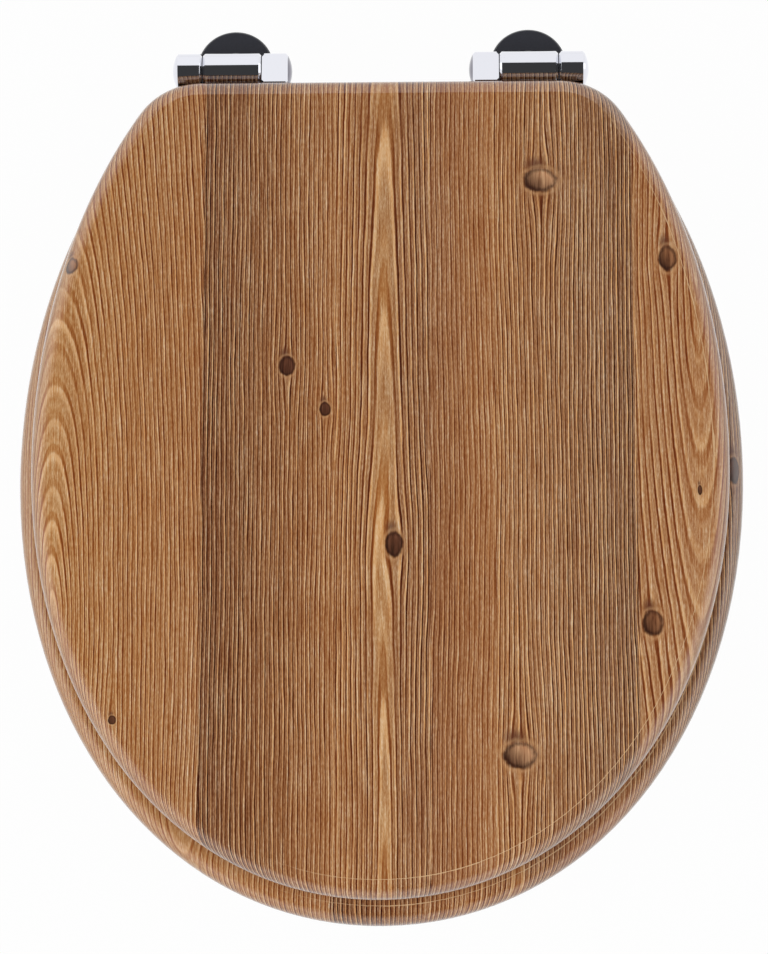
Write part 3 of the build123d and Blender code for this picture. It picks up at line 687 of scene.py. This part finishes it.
def lamp(name, place, power):
    """A soft lamp aimed at the middle of the lid, left out of reflections."""
    data = bpy.data.lights.new(name, "AREA")
    data.size = LAMP_SIDE
    data.energy = power
    made = bpy.data.objects.new(name, data)
    bpy.context.scene.collection.objects.link(made)
    made.location = place
    made.rotation_euler = (LAMP_AIM - Vector(place)).to_track_quat("-Z", "Y").to_euler()
    made.visible_glossy = False


def studio_tent():
    """White tent on all sides, with a round dark opening above the camera."""
    world = bpy.data.worlds.new("studio_tent")
    tree = empty_tree(world)
    toward = add_node(tree, "TexCoord").outputs["Generated"]
    width, depth = add_node(tree, "SeparateXYZ", {0: toward}).outputs[:2]
    sideways = add_node(tree, "Math", {0: width}, operation="ABSOLUTE")

    # Tent and opening, as mirrored in metal and lacquer
    axis = Vector((math.tan(OPENING_SIDE), -math.tan(OPENING_LEAN), 1.0)).normalized()
    widened = add_node(
        tree, "VectorMath", {0: toward, 1: (OPENING_NARROWING, 1.0, 1.0)}, operation="MULTIPLY"
    )
    direction = add_node(tree, "VectorMath", {0: widened}, operation="NORMALIZE")
    nearness = add_node(tree, "VectorMath", {0: direction, 1: axis}, operation="DOT_PRODUCT")
    ahead = add_node(tree, "MapRange", {"Value": depth, "From Min": 0.3, "From Max": 0.0})
    beside = add_node(tree, "MapRange", {"Value": sideways, "From Min": 0.08, "From Max": 0.3})
    soft = add_node(tree, "Math", {0: ahead, 1: beside}, operation="MAXIMUM")
    edge = math.cos(OPENING_HALF_ANGLE)
    full_at = add_node(
        tree, "MapRange", {"Value": soft, "To Min": edge - SHARP_EDGE, "To Max": edge - SOFT_EDGE}
    )
    full = add_node(
        tree, "Math", {0: sideways, 1: TENT_SIDES - TENT_ENDS, 2: TENT_ENDS},
        operation="MULTIPLY_ADD",
    )
    mirrored = add_node(
        tree, "MapRange",
        {"Value": nearness.outputs["Value"], "From Min": full_at, "From Max": edge + SHARP_EDGE,
         "To Min": full, "To Max": OPENING_STRENGTH},
    )

    # Weaker light on matt surfaces
    matt = add_node(
        tree, "Math", {0: depth, 1: -AMBIENT * AMBIENT_SLANT, 2: AMBIENT}, operation="MULTIPLY_ADD"
    )
    extra = add_node(tree, "Math", {0: mirrored, 1: matt}, operation="SUBTRACT")
    level = add_node(
        tree, "Math", {0: extra, 1: seen_directly(tree), 2: matt}, operation="MULTIPLY_ADD"
    )
    lit = add_node(tree, "Background", {"Color": linear("#FFFFFF"), "Strength": level})
    add_node(tree, "OutputWorld", {"Surface": lit})
    bpy.context.scene.world = world


# Finishes
dress(wood_effect_foil("lid_foil", "lid", 0.0, LID_KNOTS), "lid")
dress(wood_effect_foil("ring_foil", "seat_ring", RING_SHIFT, RING_KNOTS), "seat_ring")
bright = chrome("chrome_plating", "#DEDFE6", roughness=0.03)
dress(bright, *both("hinge_barrel", "ring_arm", "ring_arm_cap"))
# Painted reflection: a darker, hazier copy of the chrome on the lid arms' caps, standing in for the
# grey they mirror
shaded_chrome = chrome("chrome_plating_painted_grey", "#807E88", roughness=0.12)
dress(shaded_chrome, *both("lid_arm_cap"))
steel = plated_steel()
dress(
    steel,
    *both("fixing_stud", "hinge_post", "grub_screw", "ring_arm_screws", "lid_arm_screws"),
)
dress(
    moulded(
        "dark_moulded_plastic", ("#27282F", "#303139"), grain_mm=0.6, roughness=0.32, bump=0.05
    ),
    *both("base_disc"),
)
dress(
    moulded("black_rubber", ("#161616", "#1F1F1F"), grain_mm=0.8, roughness=0.7, bump=0.2),
    *both("base_pad", "cone_washer"),
)
dress(
    moulded("pale_rubber", ("#B4B0A6", "#C2BEB4"), grain_mm=0.9, roughness=0.62, bump=0.15),
    *both("ring_buffer_front", "ring_buffer_back", "lid_buffer_front", "lid_buffer_back"),
)
dress(
    moulded("grey_acetal", ("#6C6E72", "#787A7E"), grain_mm=0.7, roughness=0.4, bump=0.05),
    *both("ring_damper", "lid_damper", "ring_damper_shaft", "lid_damper_shaft"),
)
dress(
    moulded("white_nylon", ("#DAD9D4", "#E6E5E1"), grain_mm=0.8, roughness=0.45, bump=0.08),
    *both("wing_nut"),
)

# Pieces finer than the solids
for hinge_side in SIDES:
    stud_thread(hinge_side, steel)
    flat_lid_arm(hinge_side, bright)

# Studio
pale_floor()
studio_tent()
for lamp_name, (lamp_place, lamp_power) in LAMPS.items():
    lamp(lamp_name, lamp_place, lamp_power)
camera()
bpy.context.scene.view_settings.view_transform = "Standard"
